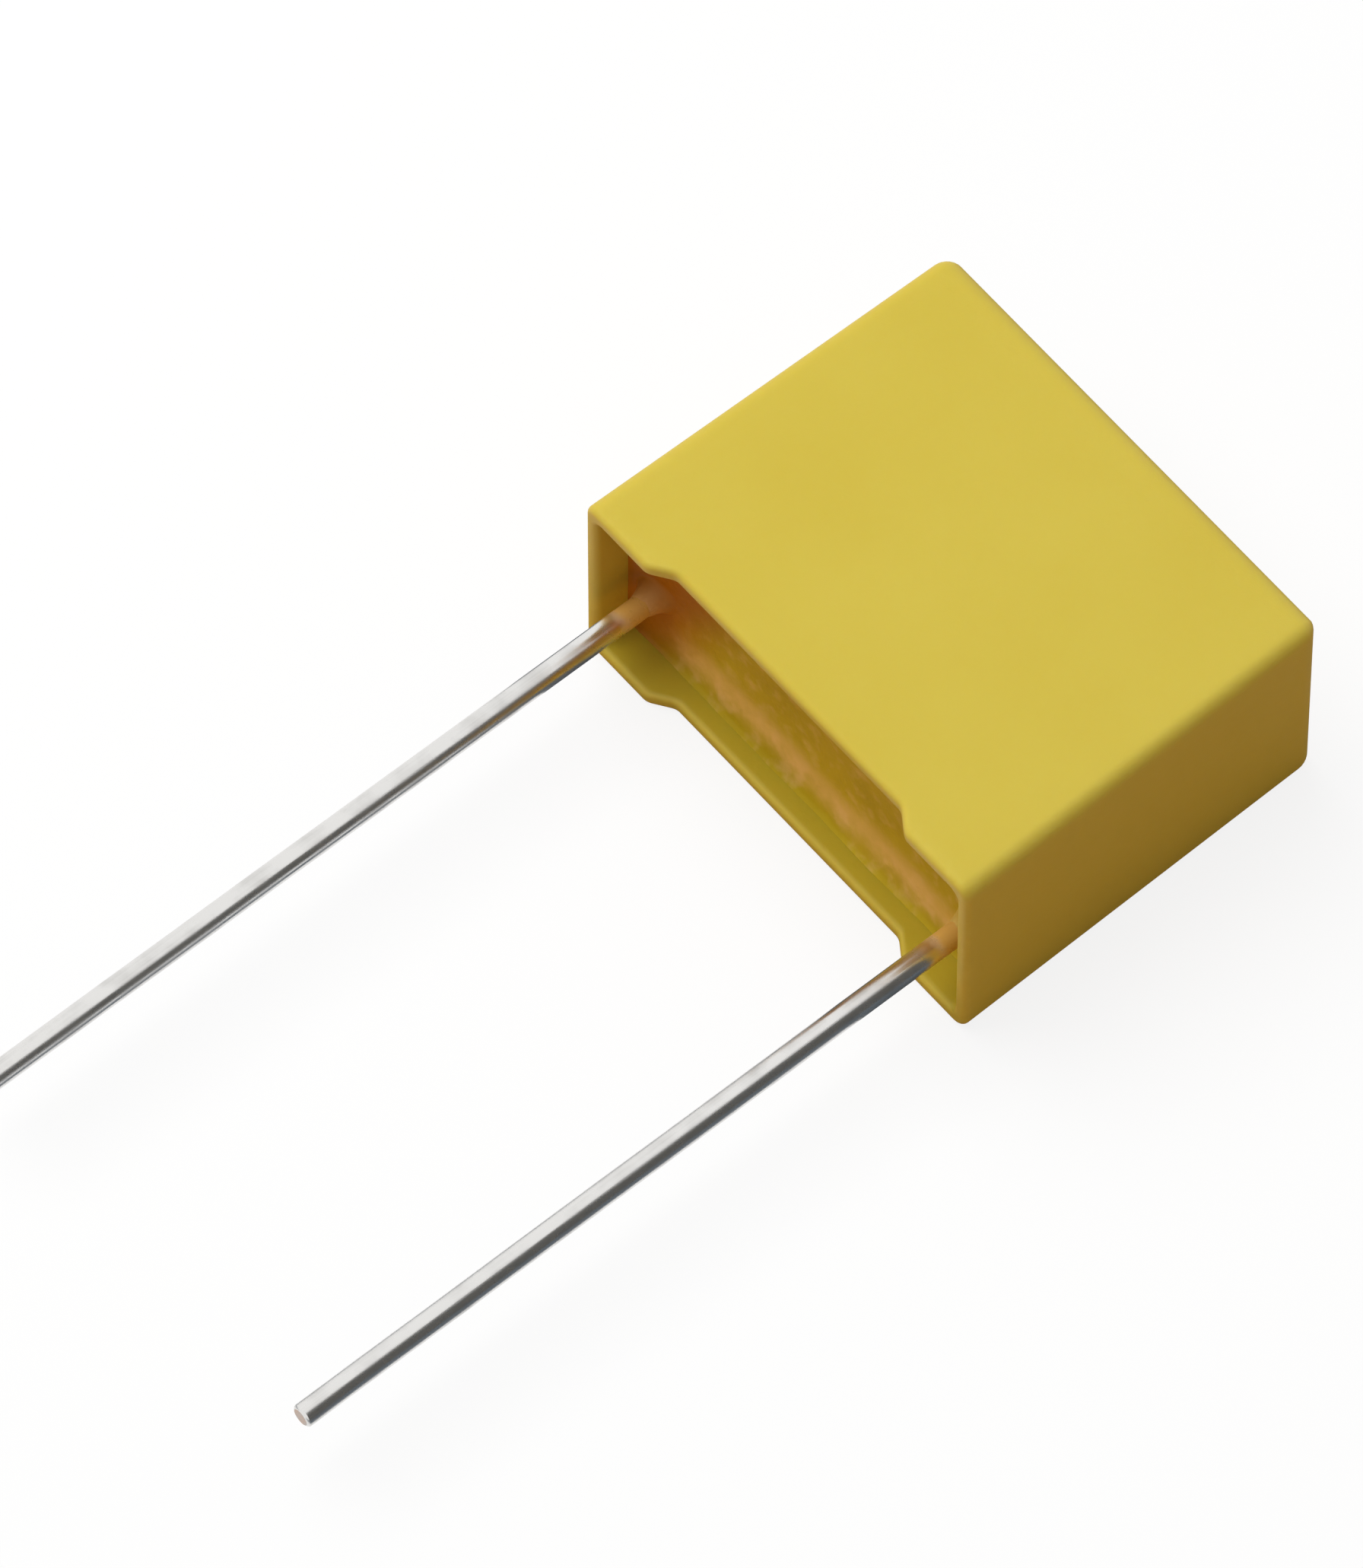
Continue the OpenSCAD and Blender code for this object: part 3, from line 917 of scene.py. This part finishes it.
# 1 for every ray that shows the studio itself: seen directly, through or in a surface.
def shownMask(tree):
    path = addNode(tree, "ShaderNodeLightPath").outputs
    seen = calc(tree, "MAXIMUM", path["Is Camera Ray"], path["Is Transmission Ray"])
    return calc(tree, "MAXIMUM", seen, path["Is Glossy Ray"])


def makeSheet(name, quads):
    build = bmesh.new()
    for quad in quads:
        build.faces.new([build.verts.new(point) for point in quad])
    mesh = bpy.data.meshes.new(name)
    build.to_mesh(mesh)
    build.free()
    sheet = addPiece(name, mesh)
    return sheet


def flatQuad(lowX, highX, lowY, highY, z):
    return [(lowX, lowY, z), (highX, lowY, z), (highX, highY, z), (lowX, highY, z)]


def paperMaterial(name, colour):
    material = bpy.data.materials.new(name)
    material.use_nodes = True
    paper = material.node_tree.nodes["Principled BSDF"]
    paper.inputs["Base Color"].default_value = colour
    paper.inputs["Roughness"].default_value = studio["paperRoughness"]
    paper.inputs["Specular IOR Level"].default_value = 0.0
    return material, material.node_tree, paper


def makeFloor():
    reach = studio["floorSize"] / 2
    floor = makeSheet("studioFloor", [flatQuad(-reach, reach, -reach, reach, 0)])
    material, tree, paper = paperMaterial("paleFloor", studio["floorColour"])
    mask = shownMask(tree)
    colour = mixColour(tree, mask, studio["bounceColour"], studio["floorColour"])
    tree.links.new(colour, paper.inputs["Base Color"])
    glow = addNode(tree, "ShaderNodeEmission", {"Color": studio["glowColour"], "Strength": 1.0})
    share = calc(tree, "MULTIPLY", mask, studio["floorGlow"])
    both = addNode(tree, "ShaderNodeMixShader", {0: share, 1: paper.outputs[0], 2: glow.outputs[0]})
    tree.links.new(both.outputs[0], tree.nodes["Material Output"].inputs["Surface"])
    floor.data.materials.append(material)


def makeCard():
    lift = studio["cardLift"]
    quads = [flatQuad(*(edge * mm for edge in edges), lift) for edges in studio["cardsOnFloor"]]
    x, lowY, highY, top = (length * mm for length in studio["cardUpright"])
    quads.append([(x, lowY, lift), (x, highY, lift), (x, highY, top), (x, lowY, top)])
    card = makeSheet("greyCard", quads)
    card.data.materials.append(paperMaterial("greyPaper", studio["cardColour"])[0])
    card.visible_camera = False
    card.visible_diffuse = False
    card.visible_shadow = False
    card.visible_transmission = False


def makeDome():
    world = bpy.data.worlds.new("studioDome")
    bpy.context.scene.world = world
    world.use_nodes = True
    tree = world.node_tree
    direction = addNode(tree, "ShaderNodeTexCoord").outputs["Generated"]
    height = addNode(tree, "ShaderNodeSeparateXYZ", {0: direction}).outputs["Z"]
    dome = remap(tree, height, 0.0, 1.0, studio["domeSide"], studio["domeTop"])
    strength = addNode(tree, "ShaderNodeMix", {0: shownMask(tree), 2: dome, 3: 1.0}).outputs[0]
    tree.links.new(strength, tree.nodes["Background"].inputs["Strength"])
    tree.nodes["Background"].inputs["Color"].default_value = studio["domeColour"]


def aimAt(thing, position, target):
    thing.location = position
    thing.rotation_mode = "QUATERNION"
    thing.rotation_quaternion = (Vector(target) - Vector(position)).to_track_quat("-Z", "Y")


def makeKeyLight():
    lamp = bpy.data.lights.new("softbox", "AREA")
    lamp.shape = "DISK"
    lamp.size = studio["keySize"]
    lamp.energy = studio["keyPower"]
    lamp.color = studio["keyColour"]
    holder = bpy.data.objects.new("softbox", lamp)
    holder.visible_glossy = False            # reflections show the plain white dome instead
    bpy.context.scene.collection.objects.link(holder)
    aimAt(holder, Vector(studio["keyFrom"]).normalized() * studio["keyDistance"], (0, 0, middleZ))


cameraPlan = {
    "azimuth": 49.93,     # degrees round Z, from straight before the open end
    "elevation": 60.43,   # degrees above the floor
    "distance": 650 * mm,
    "aim": (-2.892 * mm, -8.512 * mm, 0.795 * mm),
    "lens": 485.43,       # in mm, as is the sensor's height
    "sensor": 36.0,
    "clip": (0.005, 5.0),
}


def makeCamera():
    data = bpy.data.cameras.new("studioCamera")
    data.sensor_fit = "VERTICAL"
    data.sensor_height = cameraPlan["sensor"]
    data.lens = cameraPlan["lens"]
    data.clip_start, data.clip_end = cameraPlan["clip"]
    camera = bpy.data.objects.new("studioCamera", data)
    bpy.context.scene.collection.objects.link(camera)
    around, up = math.radians(cameraPlan["azimuth"]), math.radians(cameraPlan["elevation"])
    back = Vector((math.cos(up) * math.sin(around), -math.cos(up) * math.cos(around), math.sin(up)))
    aim = Vector(cameraPlan["aim"])
    aimAt(camera, aim + back * cameraPlan["distance"], aim)
    bpy.context.scene.camera = camera


print("studio")
makeFloor()
makeCard()
makeDome()
makeKeyLight()
makeCamera()
bpy.context.scene.view_settings.view_transform = "Standard"
